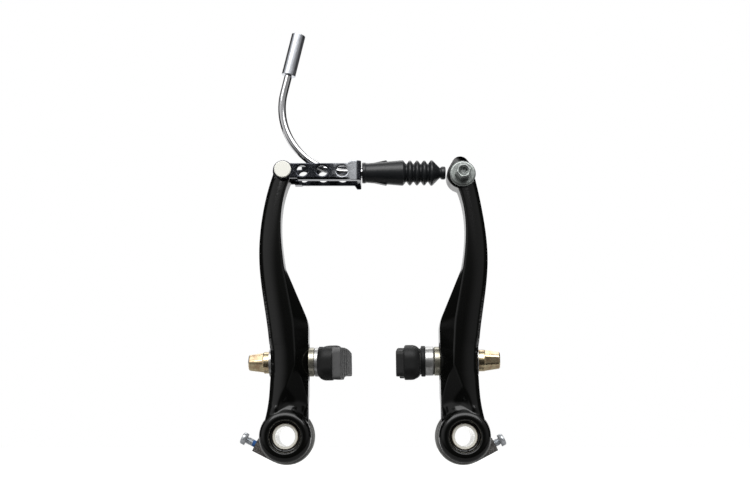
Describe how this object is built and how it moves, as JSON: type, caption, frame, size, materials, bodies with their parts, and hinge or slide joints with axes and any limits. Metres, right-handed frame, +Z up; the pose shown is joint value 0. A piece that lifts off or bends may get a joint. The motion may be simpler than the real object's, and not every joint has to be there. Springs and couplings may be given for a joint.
{
  "type": "bicycle linear-pull rim brake",
  "caption": "Linear-pull rim brake: sprung arms with pads on spherical washers, joined by a hinged link, bent guide pipe and bellows boot, with a cable anchor.",
  "frame": {"origin": "midway between the two pivot axes, on the mounting plane at the back of the pivot bushings", "axes": "+X to the right seen from the front, +Y back into the bicycle's frame along the pivots, +Z up along the arms"},
  "size_m": [0.1091, 0.0543, 0.1803],
  "materials": {
    "arm_black": "satin black coat on a forging",
    "bushing": "pale turned brass",
    "housing": "light grey moulding",
    "spring_steel": "drawn wire",
    "zinc_screw": "bright zinc",
    "pad_rubber": "moulded black compound",
    "steel_stud": "threaded steel",
    "yellow_zinc": "yellow passivated zinc",
    "silver": "bright nickel",
    "link_steel": "dark blackened sheet",
    "pipe_chrome": "bright plated tube",
    "liner": "natural nylon",
    "boot_rubber": "soft black rubber",
    "anchor_silver": "bright zinc with a greenish tint"
  },
  "bodies": {
    "frame_side": {"left_pivot_bushing": "bushing", "right_pivot_bushing": "bushing", "left_return_spring": "spring_steel", "right_return_spring": "spring_steel"},
    "left_arm_group": {"left_arm": "arm_black", "left_spring_housing": "housing", "left_brake_pad": "pad_rubber", "left_pad_post": "steel_stud", "left_inner_cup_washer": "yellow_zinc", "left_inner_ball_washer": "silver", "left_outer_cup_washer": "yellow_zinc", "left_outer_ball_washer": "silver", "left_pad_nut": "yellow_zinc", "link_pin": "silver"},
    "right_arm_group": {"right_arm": "arm_black", "right_spring_housing": "housing", "right_brake_pad": "pad_rubber", "right_pad_post": "steel_stud", "right_inner_cup_washer": "yellow_zinc", "right_inner_ball_washer": "silver", "right_outer_cup_washer": "yellow_zinc", "right_outer_ball_washer": "silver", "right_pad_nut": "yellow_zinc", "anchor_bolt": "anchor_silver", "anchor_washer": "anchor_silver"},
    "left_screw": {"left_tension_screw": "zinc_screw"},
    "right_screw": {"right_tension_screw": "zinc_screw"},
    "link": {"noodle_link": "link_steel"},
    "noodle": {"noodle_pipe": "pipe_chrome", "noodle_ferrule": "pipe_chrome", "noodle_liner": "liner", "noodle_tip": "pipe_chrome", "cable_boot": "boot_rubber"}
  },
  "joints": [
    {"name": "left_arm_swing", "type": "hinge", "parent": "frame_side", "child": "left_arm_group", "pos_m": [-0.03575, -0.011, 0], "axis": [0, 1, 0], "range_deg": [-25, 0], "stiffness_Nm_per_rad": 0.5, "springref_deg": -25.78, "deforming": ["left_return_spring"]},
    {"name": "right_arm_swing", "type": "hinge", "parent": "frame_side", "child": "right_arm_group", "pos_m": [0.03575, -0.011, 0], "axis": [0, 1, 0], "range_deg": [0, 25], "stiffness_Nm_per_rad": 0.5, "springref_deg": 25.78, "deforming": ["right_return_spring"]},
    {"name": "link_swing", "type": "hinge", "parent": "left_arm_group", "child": "link", "pos_m": [-0.03794, -0.0174, 0.10809], "axis": [0, -1, 0], "range_deg": [-12, 85]},
    {"name": "noodle_swivel", "type": "hinge", "parent": "link", "child": "noodle", "pos_m": [-0.00654, -0.0174, 0.10823], "axis": [1, 0, 0], "range_deg": [-25, 25]},
    {"name": "left_screw_slide", "type": "slide", "parent": "left_arm_group", "child": "left_screw", "axis": [-0.8949, 0, 0.4462], "range_m": [-0.0043, 0.002]},
    {"name": "right_screw_slide", "type": "slide", "parent": "right_arm_group", "child": "right_screw", "axis": [0.887, 0, 0.4617], "range_m": [-0.0025, 0.004]}
  ]
}
